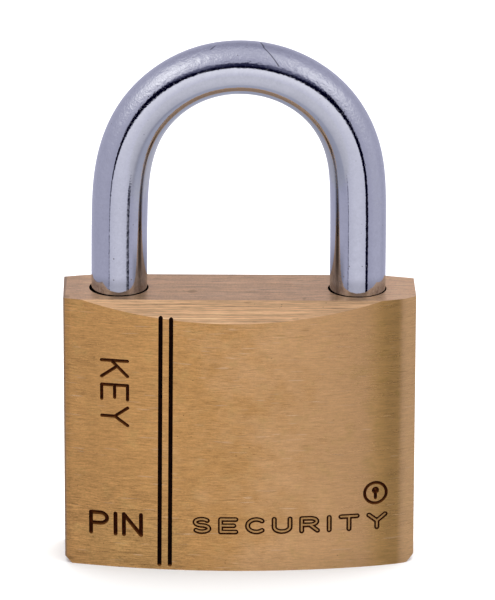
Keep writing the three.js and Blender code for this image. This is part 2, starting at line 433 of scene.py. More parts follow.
def make_brass(name, flat=(0.76, 0.483, 0.26), lit_chamfer_colour=(0.86, 0.53, 0.265)):
    m, g, b, p, tc = material(name)
    x, y, z = g.split(p)
    nx, ny, nz = g.split(V(g, tc.outputs["Normal"]))
    top = nz.smooth(0.82, 0.95)
    slant = nz.smooth(0.35, 0.55) * (1.0 - top)
    face = 1.0 - nz.smooth(0.35, 0.55)
    side = nx.abs().smooth(0.8, 0.95)
    # grain runs along X on the faces and the top, along Y on the sides; it leans a little and wanders
    along = x + y * side * 6.0
    wob = g.noise(g.join(x * 0.10, y * 0.1, z * 0.4), 1.0, 2.0, 0.5)
    zz = z + x * 0.012 + wob * 0.7
    fine = g.noise(g.join(along * 0.50, y * 0.6, zz * 6.5), 1.0, 4.0, 0.62)
    hair = g.noise(g.join(along * 1.0 + 7.0, y * 0.8, zz * 11.0), 1.0, 3.0, 0.65)
    broad = g.noise(g.join(along * 0.20, y * 0.5, zz * 2.2), 1.0, 3.0, 0.6)
    cloud = g.noise(g.join(x * 0.17, y * 0.1, z * 0.21), 1.0, 3.0, 0.55)
    patch = g.noise(g.join(x * 0.55 + 3.0, y * 0.3, z * 0.75), 1.0, 4.0, 0.62)
    speck = g.noise(g.join(x * 4.6, y * 2.0, z * 7.0), 1.0, 3.0, 0.65)
    # the left half and above all its lower corner is more worn than the right
    force = 1.12 - x.smooth(-3.0, 9.0) * 0.50 + x.smooth(-3.0, -7.0) * z.smooth(13.0, 6.0) * 0.60
    tone = 1.0 + ((fine - 0.5) * 0.66 + (hair - 0.5) * 0.85 + (broad - 0.5) * 0.20 + (patch - 0.5) * 0.22 + (speck - 0.5) * 0.52) * force + (cloud - 0.5) * 0.24
    tone = tone * (1.0 - z.smooth(3.2, 0.3) * 0.12) * (1.0 + z.smooth(8.0, 19.0) * x.smooth(-3.0, -9.0) * 0.08 + x.smooth(-16.5, -19.2) * 0.09 + x.smooth(-12.0, -16.0) * 0.03)
    # cutter lines of the flat top and of the crescent chamfer
    mill = g.noise(g.join(x * 0.03, y * 2.6, z * 2.6), 1.0, 4.0, 0.7)
    mill2 = g.noise(g.join(x * 0.12 + 5.0, y * 6.5, z * 6.5), 1.0, 3.0, 0.65)
    dash = g.noise(g.join(x * 0.6 + 9.0, y * 7.0, z * 7.0), 1.0, 3.0, 0.65)
    tone_top = 1.0 + (mill - 0.5) * 0.75 + (mill2 - 0.5) * 0.90 + (dash - 0.5) * 1.05 + (speck - 0.5) * 0.45 + (cloud - 0.5) * 0.25
    tone_top = tone_top * 1.03 * (1.0 - x.smooth(-17.0, -18.8) * 0.15) * (1.0 + (x.abs() - 1.5).smooth(12.5, 16.5) * 0.17)
    tone_slant = (1.0 + (mill - 0.5) * 1.15 + (mill2 - 0.5) * 1.60 + (dash - 0.5) * 0.85) * (0.985 - x.smooth(-4.0, 3.0) * 0.12 - x.smooth(6.5, 11.0) * 0.08)
    # light scratches, dark scratches and small dark pits
    scr = g.noise(g.join(along * 0.30 + 20.0, y * 0.4, zz * 6.0 + 9.0), 1.0, 1.0, 0.5).smooth(0.69, 0.76)
    dark_scr = g.noise(g.join(along * 0.45 + 41.0, y * 0.4, zz * 8.0 + 3.0), 1.0, 1.0, 0.5).smooth(0.68, 0.76)
    cell = g.voronoi(g.join(x * 1.5, y * 1.5, z * 2.0), 1.0, 1.0)
    # pits gather at the lower left of the front and on the right half of the chamfer
    low_left = (((x + 12.0) / 6.5).pow(2.0) + ((z - 3.5) / 4.5).pow(2.0)).smooth(1.3, 0.2)
    right_slant = slant * x.smooth(1.0, 6.0) * x.smooth(15.0, 10.0)
    where = g.noise(g.join(x * 0.23 + 11.0, y * 0.2, z * 0.3 + 5.0), 1.0, 2.0, 0.5) + low_left * 0.18 + right_slant * 0.18
    pits = cell.smooth(0.13, 0.06) * where.smooth(0.60, 0.70)
    # the tone leans to yellow on the left and to pink on the right, in patches
    warm = (x + (cloud - 0.5) * 30.0 + (patch - 0.5) * 12.0).smooth(9.0, -6.0)
    c = g.mix(warm, (0.668, 0.386, 0.164), (0.602, 0.322, 0.106))
    c = g.scale_colour(c, tone)
    olive = (patch - 0.52).max(0.0) * 2.2 + low_left * 0.25
    c = g.mix(olive, c, g.scale_colour((0.50, 0.315, 0.105), tone))
    # the darker, yellower flank before the right-hand edge
    dip = x.smooth(13.8, 16.6) * x.smooth(18.7, 18.0)
    cr, cg, cb = g.split(c)
    c = g.join(cr * (1.0 + dip * 0.015), cg * (1.0 + dip * 0.01), cb * (1.0 - dip * 0.22))
    # painted highlight: the last millimetre before the right-hand edge is painted paler, for the light the rounded
    # edge catches
    edge = x.smooth(17.9, 18.7)
    c = g.mix(edge * 0.55, c, g.scale_colour((0.86, 0.54, 0.235), tone))
    # painted light: the crescent chamfer and the flat top take lighter copies of the brass colour, for the light
    # they catch from above
    c = g.mix(1.0 - face, c, g.scale_colour(lit_chamfer_colour, tone_slant))
    c = g.mix(top, c, g.scale_colour(flat, tone_top))
    c = g.mix(scr * 0.45, c, (0.90, 0.62, 0.36))
    c = g.mix(dark_scr * 0.40, c, (0.30, 0.16, 0.05))
    c = g.mix(pits * 0.8, c, (0.10, 0.045, 0.012))
    # painted shade: the left-hand rim is darkened where its bevel reflects dark; the rear edge of the top is darker
    # too
    rim = (x.smooth(-19.70, -19.92) * (1.0 - nx.abs().smooth(0.93, 0.985))).max(y.smooth(4.40, 4.68) * top * 0.7)
    c = g.mix(rim * 0.7, c, (0.33, 0.215, 0.14))
    # painted reflection: faces that look down, such as the bottom bevel, are painted a pale pinkish brass for what
    # they reflect from below
    painted_under_reflection = nz.smooth(-0.25, -0.6)
    c = g.mix(painted_under_reflection * 0.8, c, (0.78, 0.56, 0.45))
    g.put(b.inputs["Base Color"], c)
    # the cut flats are duller and scatter more of the light from above
    g.put(b.inputs["Metallic"], 1.0 - slant * 0.20 - top * 0.10)
    g.put(b.inputs["Roughness"], 0.29 + (broad - 0.5) * 0.14 + (cloud - 0.5) * 0.08 + (1.0 - face) * 0.06)
    b.inputs["Anisotropic"].default_value = 0.72
    b.inputs["Anisotropic Rotation"].default_value = 0.25
    t = g.nodes.new("ShaderNodeTangent")
    t.direction_type = "UV_MAP"
    t.uv_map = "grain"
    g.links.new(t.outputs[0], b.inputs["Tangent"])
    h = ((fine - 0.5) + (hair - 0.5) * 0.7) * face + (mill + mill2 * 0.8 + dash * 0.4 - 1.1) * (1.0 - face) * 1.6 - scr * 0.6 - pits * 2.5
    g.put(b.inputs["Normal"], g.bump(h, 0.000014, 0.8))
    return m


def make_groove(name):
    """Oxide left in the engraved lines: dark, with the walls that look up painted lighter, a painted highlight for
    the light they catch from above.
    """
    m, g, b, p, tc = material(name)
    x, y, z = g.split(p)
    nx, ny, nz = g.split(V(g, tc.outputs["Normal"]))
    n1 = g.noise(g.join(x * 2.2, y * 2.2, z * 2.2), 1.0, 4.0, 0.65)
    # painted highlight: the walls that look up are lighter
    lit = nz.smooth(0.10, 0.75)
    flatish = (ny * -1.0).smooth(0.75, 0.98)
    # the small marks keep a browner oxide than the two long grooves
    long_ones = (x + 8.35).abs().smooth(1.5, 1.2)
    c = g.mix(n1.smooth(0.35, 0.75), (0.014, 0.0020, 0.0003), (0.050, 0.009, 0.0012))
    c = g.mix(long_ones, c, g.mix(n1.smooth(0.35, 0.75), (0.003, 0.0005, 0.0001), (0.012, 0.0025, 0.0005)))
    c = g.mix(flatish * (1.0 - long_ones) * 0.10, c, (0.05, 0.012, 0.002))
    c = g.mix(lit * (0.45 + long_ones * 0.25), c, (0.22, 0.08, 0.018))
    g.put(b.inputs["Base Color"], c)
    b.inputs["Metallic"].default_value = 0.0
    b.inputs["Specular IOR Level"].default_value = 0.03
    g.put(b.inputs["Roughness"], 0.55 + n1 * 0.25)
    g.put(b.inputs["Normal"], g.bump(n1, 0.00002, 0.5))
    return m


def make_ridge(name):
    """The worn brass ridges left inside the wide letters."""
    m, g, b, p, tc = material(name)
    x, y, z = g.split(p)
    n1 = g.noise(g.join(x * 2.0, y * 2.0, z * 2.0), 1.0, 4.0, 0.65)
    g.put(b.inputs["Base Color"], g.mix(n1, (0.34, 0.17, 0.045), (0.74, 0.44, 0.17)))
    b.inputs["Metallic"].default_value = 1.0
    g.put(b.inputs["Roughness"], 0.36 + n1 * 0.15)
    g.put(b.inputs["Normal"], g.bump(n1, 0.00003, 0.6))
    return m


def make_dark(name):
    """The unlit wall of the shackle's bores."""
    m, g, b, p, tc = material(name)
    x, y, z = g.split(p)
    n1 = g.noise(g.join(x * 1.5, y * 1.5, z * 6.0), 1.0, 3.0, 0.6)
    g.put(b.inputs["Base Color"], g.mix(n1, (0.0015, 0.0006, 0.0002), (0.006, 0.003, 0.001)))
    b.inputs["Metallic"].default_value = 0.0
    b.inputs["Specular IOR Level"].default_value = 0.0
    g.put(b.inputs["Roughness"], 0.6 + n1 * 0.2)
    g.put(b.inputs["Normal"], g.bump(n1, 0.00002, 0.5))
    return m


def make_bore(name):
    m, g, b, p, tc = material(name)
    x, y, z = g.split(p)
    n1 = g.noise(g.join(x * 1.0, y * 1.0, z * 9.0), 1.0, 3.0, 0.6)
    c = g.mix(n1, (0.30, 0.18, 0.08), (0.50, 0.31, 0.14))
    g.put(b.inputs["Base Color"], c)
    b.inputs["Metallic"].default_value = 1.0
    g.put(b.inputs["Roughness"], 0.34 + n1 * 0.2)
    g.put(b.inputs["Normal"], g.bump(n1, 0.00002, 0.6))
    return m


def make_chrome(name):
    m, g, b, p, tc = material(name)
    x, y, z = g.split(p)
    nx, ny, nz = g.split(V(g, tc.outputs["Normal"]))
    dz = z - 46.0
    r = (x * x + dz * dz).sqrt().max(0.1)
    out0 = (nx * x + nz * dz) / r
    outward = out0.smooth(0.42, 0.64) * z.smooth(38.0, 49.0)
    front = (ny * -1.0).smooth(0.0, 0.40)
    ragged = out0.smooth(0.15, 0.36) * z.smooth(48.0, 54.0)
    cloud = g.noise(g.join(x * 0.35, y * 0.35, z * 0.35), 1.0, 4.0, 0.6)
    mott = g.noise(g.join(x * 1.6, y * 1.6, z * 1.6), 1.0, 4.0, 0.62)
    dimple = g.noise(g.join(x * 3.6, y * 3.6, z * 3.6), 1.0, 3.0, 0.6)
    fleck = g.noise(g.join(x * 5.6 + 2.0, y * 5.6, z * 5.6), 1.0, 2.0, 0.5).smooth(0.56, 0.70)
    cell = g.voronoi(g.join(x * 1.2, y * 1.2, z * 1.2), 1.0, 1.0)
    where = g.noise(g.join(x * 0.3 + 4.0, y * 0.3, z * 0.3), 1.0, 2.0, 0.5)
    base = z.smooth(41.0, 33.0)
    pits = cell.smooth(0.12, 0.05) * (where + base * 0.12).smooth(0.52, 0.66)
    tone = 1.0 + (mott - 0.5) * 0.16 + (dimple - 0.5) * 0.14 + (cloud - 0.5) * 0.10
    c = g.scale_colour((0.62, 0.63, 0.66), tone)
    c = g.mix(pits * 0.85, c, (0.10, 0.09, 0.09))
    # painted reflection: the underside of the bend is darkened and tinted blue
    underside_reflection = out0.smooth(-0.38, -0.46) * out0.smooth(-0.74, -0.62) * z.smooth(42.0, 48.0)
    c = g.mix(underside_reflection * 0.5, c, (0.36, 0.40, 0.50))
    # painted reflection: a thin dark line is painted where each leg turns to the other one, for the dark line the
    # chrome reflects there
    inn = nx * x / x.abs().max(0.1) * -1.0
    turn = inn.smooth(0.66, 0.71) * inn.smooth(0.84, 0.77) * z.smooth(33.5, 36.0) * z.smooth(50.0, 41.0)
    c = g.mix(turn * 0.72, c, (0.05, 0.045, 0.05))
    # painted shade: the inner sides of the legs darken towards the body, where they reflect its brass top; a ring
    # just above where the legs enter the body is darker too
    worn = (inn.smooth(0.42, 0.60) * z.smooth(39.0, 34.0)).max(z.smooth(34.4, 33.2) * 0.5) * (0.55 + mott * 0.9) * z.smooth(30.9, 31.9)
    c = g.scale_colour(c, 1.0 - worn * 0.50)
    # painted reflection: a thin darker, bluer band along the inner underside of the bend
    inner_band_reflection = out0.smooth(-0.62, -0.68) * out0.smooth(-0.90, -0.82) * z.smooth(46.0, 52.0)
    c = g.mix(inner_band_reflection * 0.5, c, (0.33, 0.40, 0.52))
    # painted reflection: a brownish band at the sides of the legs where they enter the body, for the brass top they
    # reflect
    brass_top_reflection = z.smooth(33.3, 32.7) * z.smooth(30.9, 31.9) * nx.abs().smooth(0.30, 0.60) * (0.62 + (dimple - 0.5) * 3.0).max(0.0).min(1.0)
    c = g.mix(brass_top_reflection * 0.75, c, (0.20, 0.165, 0.14))
    # a fine crooked scratch across the top of the bend
    bend = g.noise(g.join(y * 0.9, z * 0.4, 3.0), 1.0, 2.0, 0.6)
    line = (x - 2.27 + y * 0.28 - (y * -1.0 - 1.14).max(0.0) * 0.82 - (bend - 0.5) * 0.35).abs().smooth(0.13, 0.04) * z.smooth(56.5, 58.0) * y.smooth(0.4, -0.3) * out0.smooth(0.46, 0.51)
    tick = (x - y + 2.07).abs().smooth(0.15, 0.05) * y.smooth(-1.36, -1.2) * y.smooth(-0.68, -0.85) * z.smooth(57.0, 58.0)
    line = line.max(tick)
    c = g.mix(line * 0.80, c, (0.10, 0.10, 0.12))
    g.put(b.inputs["Base Color"], c)
    b.inputs["Metallic"].default_value = 1.0
    soft = bell(nx, 0.31, 0.07, 0.07) * x.smooth(-9.0, -10.5) * z.smooth(46.0, 41.0)
    g.put(b.inputs["Roughness"], 0.022 + fleck * ragged * 0.14 * (1.0 - outward) + soft * (0.05 + (dimple - 0.35).max(0.0) * 0.5) + outward * (0.02 + mott * 0.05) + (cloud - 0.55).max(0.0) * 0.08)
    h = (dimple - 0.5) * (0.60 + ragged * 0.7 + outward * 1.6) + (mott - 0.5) * (0.25 + ragged * 0.4 + outward * (front * 11.5 + 1.5)) + fleck * ragged * 0.25 - pits * 1.5 - line * 1.0
    g.put(b.inputs["Normal"], g.bump(h, 0.00001, 0.8))
    return m


def make_steel(name, dark=(0.30, 0.30, 0.31), light=(0.48, 0.48, 0.49), scale=1.0, rough=0.3):
    m, g, b, p, tc = material(name)
    x, y, z = g.split(p)
    n1 = g.noise(g.join(x * 5.0 * scale, y * 5.0 * scale, z * 5.0 * scale), 1.0, 4.0, 0.6)
    n2 = g.noise(g.join(x * 0.7, y * 0.7, z * 9.0), 1.0, 3.0, 0.6)
    g.put(b.inputs["Base Color"], g.mix(n1, dark, light))
    b.inputs["Metallic"].default_value = 1.0
    g.put(b.inputs["Roughness"], rough + n2 * 0.15)
    g.put(b.inputs["Normal"], g.bump(n1 * 0.4 + n2, 0.00001, 0.5))
    return m


def make_turned(name, dark=(0.58, 0.37, 0.17), light=(0.72, 0.50, 0.27)):
    """Brass turned on a lathe: fine rings about the Z axis."""
    m, g, b, p, tc = material(name)
    x, y, z = g.split(p)
    r = (x * x + y * y).sqrt()
    ring = g.noise(g.join(r * 7.0, z * 7.0, 0.0), 1.0, 3.0, 0.65)
    mott = g.noise(g.join(x * 1.2, y * 1.2, z * 1.2), 1.0, 3.0, 0.6)
    g.put(b.inputs["Base Color"], g.mix(ring * 0.6 + mott * 0.4, dark, light))
    b.inputs["Metallic"].default_value = 1.0
    g.put(b.inputs["Roughness"], 0.22 + ring * 0.16 + (mott - 0.5).abs() * 0.2)
    g.put(b.inputs["Normal"], g.bump(ring, 0.00002, 0.6))
    return m


BRASS = make_brass("brass_body")
GROOVE = make_groove("groove_oxide_lit_walls")
RIDGE = make_ridge("worn_ridge")
DARK = make_dark("unlit_bore")
BORE = make_bore("bored_brass")
CHROME = make_chrome("chromed_steel")
STEEL = make_steel("hard_steel")
WIRE = make_steel("spring_wire", (0.42, 0.43, 0.44), (0.60, 0.61, 0.62), 1.0, 0.22)
TURNED = make_turned("turned_brass")


def set_all(o, mat):
    o.data.materials.clear()
    o.data.materials.append(mat)


# ---------------------------------------------------------------- body
N_ARC = 180
u = np.linspace(-1, 1, N_ARC + 1)
xs = 20.0 * (0.72 * u + 0.28 * np.sin(u * math.pi / 2))
outline = [(x, -half_depth(x)) for x in xs] + [(x - 0.17, back_depth(x)) for x in xs[::-1]]
body = obj("body_brass", prism(outline, 0, BODY_H))
set_all(body, BRASS)
slope = (BODY_T - TOP_F) / TOP_CH
for s, flat in ((-1, TOP_F), (1, TOP_B)):
    tri = [(s * (flat - 1.5 * slope), BODY_H + 1.5), (s * (BODY_T + 0.75 * slope), BODY_H - (BODY_T - flat) / slope - 0.75), (s * (BODY_T + 3), BODY_H + 1.5)]
    cut = obj("cut", prism(tri, -21, 21, "yz"))
    set_all(cut, BRASS)
    boolean(body, cut)
    tri = [(s * (BODY_W / 2 - SIDE_CH - 1), -1), (s * (BODY_W / 2 + 1), -1), (s * (BODY_W / 2 + 1), SIDE_CH + 1)]
    cut = obj("cut", prism(tri, -8, 8, "xz"))
    set_all(cut, BRASS)
    boolean(body, cut)
bevel_sharp(body, 0.13, 3, 20.0)

# bores
bores = [
    lathe([(0, TOE_BORE_END), (3.36, TOE_BORE_END), (3.36, BODY_H - 0.04), (3.40, BODY_H + 0.01), (3.40, BODY_H + 1), (0, BODY_H + 1)], 96, "z", (-13.79, 0, 0)),
    lathe([(0, HEEL_BORE_END), (3.31, HEEL_BORE_END), (3.31, BODY_H - 0.04), (3.35, BODY_H + 0.01), (3.35, BODY_H + 1), (0, BODY_H + 1)], 96, "z", (13.32, 0, 0)),
    rod("x", BOLT_BORE, -BODY_W / 2 - 1, LEG_X, 0, BOLT_Z, 64),
    lathe([(0, -1), (PLUG_BORE + 0.25, -1), (PLUG_BORE + 0.25, -0.05), (PLUG_BORE, 0.2), (PLUG_BORE, 19.8), (0, 19.8)], 96),
    rod("z", CAM_BORE, 19.7, 25.2, 0, 0, 64),
    rod("y", 0.75, -2.6, 8, 4.3, 18.1, 32),
    rod("y", 0.88, -3.8, 8, 10.73, 20.7, 32),
]
bores += [rod("x", CHAMBER_R, -BODY_W / 2 - 1, -3.5, 0, z, 40) for z in PIN_Z]
for i, vf in enumerate(bores):
    cut = obj("cut", vf)
    set_all(cut, DARK if i < 2 else BORE)
    boolean(body, cut)


# ---------------------------------------------------------------- engraved marks
def tube(points, r, seg=12, cap=4):
    """A round rod with ball ends along points given in 3-D; its ends are closed."""
    pts = [np.array(p, float) for p in points]
    dense = pts
    tang = []
    n = len(dense)
    for i in range(n):
        a = dense[max(i - 1, 0)]
        b = dense[min(i + 1, n - 1)]
        t = b - a
        tang.append(t / np.linalg.norm(t))
    ref = np.array((0.0, 1.0, 0.0))
    rings = []
    verts = []

    def ring(c, t, rr):
        side = np.cross(t, ref)
        side /= np.linalg.norm(side)
        out = np.cross(side, t)
        ids = []
        for k in range(seg):
            a = 2 * math.pi * k / seg
            ids.append(len(verts))
            verts.append(c + rr * (math.cos(a) * side + math.sin(a) * out))
        return ids

    t0, t1 = tang[0], tang[-1]
    start = len(verts)
    verts.append(dense[0] - t0 * r)
    for k in range(1, cap):
        a = math.pi / 2 * k / cap
        rings.append(ring(dense[0] - t0 * r * math.cos(a), t0, r * math.sin(a)))
    for c, t in zip(dense, tang):
        rings.append(ring(c, t, r))
    for k in range(cap - 1, 0, -1):
        a = math.pi / 2 * k / cap
        rings.append(ring(dense[-1] + t1 * r * math.cos(a), t1, r * math.sin(a)))
    end = len(verts)
    verts.append(dense[-1] + t1 * r)
    faces = []
    for a, b2 in zip(rings[:-1], rings[1:]):
        for k in range(seg):
            j = (k + 1) % seg
            faces.append((a[k], a[j], b2[j], b2[k]))
    for k in range(seg):
        j = (k + 1) % seg
        faces.append((start, rings[0][j], rings[0][k]))
        faces.append((end, rings[-1][k], rings[-1][j]))
    return verts, faces


def groove_rod(points, r, z_full, z_tip, seg=24):
    """An upright rod along the points whose upper end tapers to a point at z_tip."""
    vs, fs, rs = [], [], []
    last = points[-1]
    first = points[0]
    chain = [((first[0], first[1], first[2] - r * math.cos(a)), r * math.sin(a)) for a in (0.35, 0.75, 1.15)]
    chain += [(p, r) for p in points] + [((last[0], last[1], z_full + (z_tip - z_full) * t), r * (1 - t)) for t in (0.25, 0.5, 0.75)]
    vs.append((first[0], first[1], first[2] - r))
    for p, rr in chain:
        ids = []
        for k in range(seg):
            a = 2 * math.pi * k / seg
            ids.append(len(vs))
            vs.append((p[0] + rr * math.cos(a), p[1] + rr * math.sin(a), p[2]))
        rs.append(ids)
    vs.append((last[0], last[1], z_tip))
    for a, b2 in zip(rs[:-1], rs[1:]):
        for k in range(seg):
            j = (k + 1) % seg
            fs.append((a[k], a[j], b2[j], b2[k]))
    for k in range(seg):
        j = (k + 1) % seg
        fs.append((0, rs[0][j], rs[0][k]))
        fs.append((len(vs) - 1, rs[-1][k], rs[-1][j]))
    return vs, fs


def arc(cx, cy, rx, ry, a0, a1, n=10):
    return [(cx + rx * math.cos(math.radians(a0 + (a1 - a0) * i / n)), cy + ry * math.sin(math.radians(a0 + (a1 - a0) * i / n))) for i in range(n + 1)]


# single-stroke letters in a box 1 high; width given
GLYPHS = {
    "L": (0.58, [[(0, 1), (0, 0), (0.58, 0)]]),
    "O": (0.80, [arc(0.40, 0.5, 0.40, 0.5, 90, 450, 28)]),
    "C": (0.72, [arc(0.42, 0.5, 0.42, 0.5, 48, 312, 20)]),
    "K": (0.66, [[(0, 0), (0, 1)], [(0.62, 1), (0.02, 0.40)], [(0.22, 0.60), (0.66, 0)]]),
    "5": (0.60, [[(0.56, 1), (0.10, 1), (0.05, 0.56)] + arc(0.28, 0.32, 0.32, 0.32, 110, -140, 14)]),
    "P": (0.60, [[(0, 0), (0, 1), (0.34, 1)] + arc(0.34, 0.74, 0.26, 0.26, 90, -90, 10) + [(0, 0.48)]]),
    "I": (0.0, [[(0, 0), (0, 1)]]),
    "N": (0.70, [[(0, 0), (0, 1), (0.70, 0), (0.70, 1)]]),
    "S": (0.66, [arc(0.33, 0.75, 0.31, 0.25, 35, 270, 14) + arc(0.33, 0.25, 0.33, 0.25, 90, -145, 14)[1:]]),
    "E": (0.60, [[(0.60, 1), (0, 1), (0, 0), (0.60, 0)], [(0, 0.5), (0.52, 0.5)]]),
    "U": (0.72, [[(0, 1), (0, 0.36)] + arc(0.36, 0.36, 0.36, 0.36, 180, 360, 14) + [(0.72, 1)]]),
    "R": (0.66, [[(0, 0), (0, 1), (0.36, 1)] + arc(0.36, 0.74, 0.27, 0.26, 90, -90, 10) + [(0, 0.48)], [(0.34, 0.48), (0.66, 0)]]),
    "T": (0.70, [[(0, 1), (0.70, 1)], [(0.35, 1), (0.35, 0)]]),
    "Y": (0.70, [[(0, 1), (0.35, 0.5), (0.70, 1)], [(0.35, 0.5), (0.35, 0)]]),
}


def layout(text, height, width, widths, grouped=False):
    """Strokes of a word laid out to exactly this width, as (along, up); widths are each letter's own, times the height where below 1."""
    ws = [w * height if not grouped else w for w in widths]
    gap = (width - sum(ws)) / (len(text) - 1)
    out, at = [], 0.0
    for ch, ww in zip(text, ws):
        gw, strokes = GLYPHS[ch]
        k = ww / gw if gw else 1.0
        placed = [[(at + px * k, py * height) for px, py in st] for st in strokes]
        if grouped:
            out.append((at, at + ww, placed))
        else:
            out += placed
        at += ww + gap
    return out


def densify(points, step=0.25):
    out = [points[0]]
    for a, b2 in zip(points[:-1], points[1:]):
        d = math.dist(a, b2)
        n = max(1, int(math.ceil(d / step)))
        out += [(a[0] + (b2[0] - a[0]) * i / n, a[1] + (b2[1] - a[1]) * i / n) for i in range(1, n + 1)]
    return out


def on_face(x, z, depth=0.0):
    return (x, -half_depth(x) + depth, z)


def engrave(strokes, r, sink=0.0, step=0.5):
    """Ball-nosed grooves along strokes of (x, z) on the front face."""
    for st in strokes:
        pts = [q for i, q in enumerate(densify(st, step)) if i == 0 or math.dist(q, densify(st, step)[i - 1]) > 1e-6]
        closed = math.dist(pts[0], pts[-1]) < 1e-6
        if closed:
            half = len(pts) // 2
            parts = [pts[: half + 1], pts[half:]]
        else:
            # corners are cut as separate runs, so that the rod never folds on itself
            parts, cur = [], [pts[0]]
            for i in range(1, len(pts)):
                cur.append(pts[i])
                if i + 1 < len(pts):
                    v1 = np.subtract(pts[i], pts[i - 1])
                    v2 = np.subtract(pts[i + 1], pts[i])
                    c = float(v1 @ v2 / (np.linalg.norm(v1) * np.linalg.norm(v2)))
                    if c < math.cos(math.radians(40)):
                        parts.append(cur)
                        cur = [pts[i]]
            parts.append(cur)
        for part in parts:
            cut = obj("cut", tube([on_face(px, pz, sink) for px, pz in part], r))
            set_all(cut, GROOVE)
            boolean(body, cut)


# the two long grooves lean a little and run out through the crescent chamfer to a point
for x_low, top in ((-9.13, 31.36), (-7.94, 31.22)):
    pts = []
    for z in np.linspace(0.62, top - 0.75, 14):
        x_ = x_low + 0.0072 * z
        pts.append((x_, -half_depth(x_), z))
    cut = obj("cut", groove_rod(pts, 0.25, top - 0.75, top + 0.12))
    set_all(cut, GROOVE)
    boolean(body, cut)

# upright word: reads downwards, the letters' tops to the right
upright = layout("KEY", 2.95, 7.75, (0.66, 0.58, 0.72))
engrave([[(-15.65 + up_, 25.02 - al) for al, up_ in st] for st in upright], 0.20)
# lower left mark
lower = layout("PIN", 2.45, 5.75, (0.76, 0.0, 0.80))
engrave([[(-16.98 + al, 4.05 + up_) for al, up_ in st] for st in lower], 0.245)


def stadium(a, b2, r, seg=9):
    """A rounded bar in XZ round the segment a-b, counter-clockwise."""
    d = np.subtract(b2, a)
    t = math.atan2(d[1], d[0])
    pts = [(b2[0] + r * math.cos(t + w), b2[1] + r * math.sin(t + w)) for w in np.linspace(-math.pi / 2, math.pi / 2, seg)]
    pts += [(a[0] + r * math.cos(t + w), a[1] + r * math.sin(t + w)) for w in np.linspace(math.pi / 2, 3 * math.pi / 2, seg)]
    return pts


def union_of(strokes, r, y0, y1, name):
    made = None
    for st in strokes:
        for a, b2 in zip(st[:-1], st[1:]):
            o2 = obj(name, prism(stadium(a, b2, r), y0, y1, "xz"))
            set_all(o2, GROOVE)
            if made is None:
                made = o2
            else:
                boolean(made, o2, "UNION")
    return made


# lower right word: each stroke is a shallow channel with a low ridge left along its middle
word = layout("SECURITY", 1.52, 21.75, (1.62, 1.74, 1.70, 1.80, 1.80, 0.0, 1.85, 1.85), True)
for al0, al1, strokes in word:
    placed = [[(-5.08 + al, 4.76 + up_) for al, up_ in st] for st in strokes]
    mid = -5.08 + (al0 + al1) / 2
    face = -half_depth(mid)
    outer = union_of(placed, 0.305, face - 1.2, face + 2.0, "cut")
    inner = union_of(placed, 0.100, face - 1.3, face + 2.1, "cut2")
    # the ridge stands a little below the face
    fx = np.linspace(mid - 2.0, mid + 2.0, 21)
    low = [(x_, face - 3.0) for x_ in fx] + [(x_, -half_depth(x_) + 0.045) for x_ in fx[::-1]]
    o4 = obj("cut4", prism(low, 2.5, 9.0))
    set_all(o4, RIDGE)
    boolean(inner, o4)
    for slot_ in range(len(inner.data.materials)):
        inner.data.materials[slot_] = RIDGE
    boolean(outer, inner)
    # the floor of the cut follows the face: keep only what lies outside the sunk face
    keep = [(x_, face - 3.0) for x_ in fx] + [(x_, -half_depth(x_) + 0.17) for x_ in fx[::-1]]
    o3 = obj("cut3", prism(keep, 2.5, 9.0))
    set_all(o3, GROOVE)
    boolean(outer, o3, "INTERSECT")
    boolean(body, outer)

# a plain keyhole in a ring, above the word's end
kx, kz = 15.55, 8.95
engrave([arc(kx, kz, 1.24, 1.24, 90, 450, 36)], 0.19)
engrave([arc(kx, kz + 0.30, 0.24, 0.24, 90, 450, 14)], 0.20)
engrave([[(kx, kz + 0.2), (kx, kz - 0.60)]], 0.20)

tidy(body)
me = body.data
uv = me.uv_layers.get("grain") or me.uv_layers.new(name="grain")
for poly in me.polygons:
    sideways = abs(poly.normal.x) > 0.8
    for li in poly.loop_indices:
        co = me.vertices[me.loops[li].vertex_index].co
        uv.data[li].uv = (co.y, co.z) if sideways else (co.x, co.z + co.y)
finish_piece(body, "body", ["body"], [], 30.0)
print("body polygons", len(me.polygons), [m_.name for m_ in me.materials])

# ---------------------------------------------------------------- shackle
ARCH = [
    (13.48, 0), (13.48, 9.4), (13.46, 12.2), (13.27, 14.95), (12.80, 17.04), (11.97, 19.1), (10.77, 21.06), (9.20, 22.78),
    (7.3, 24.19), (5.17, 25.26), (2.86, 25.94), (0.46, 26.2), (-1.97, 26.03), (-4.33, 25.44), (-6.53, 24.41), (-8.49, 23.0),
    (-10.18, 21.29), (-11.49, 19.33), (-12.43, 17.19), (-13.05, 15.01), (-13.44, 12.2), (-13.55, 9.4), (-13.62, 0),
]


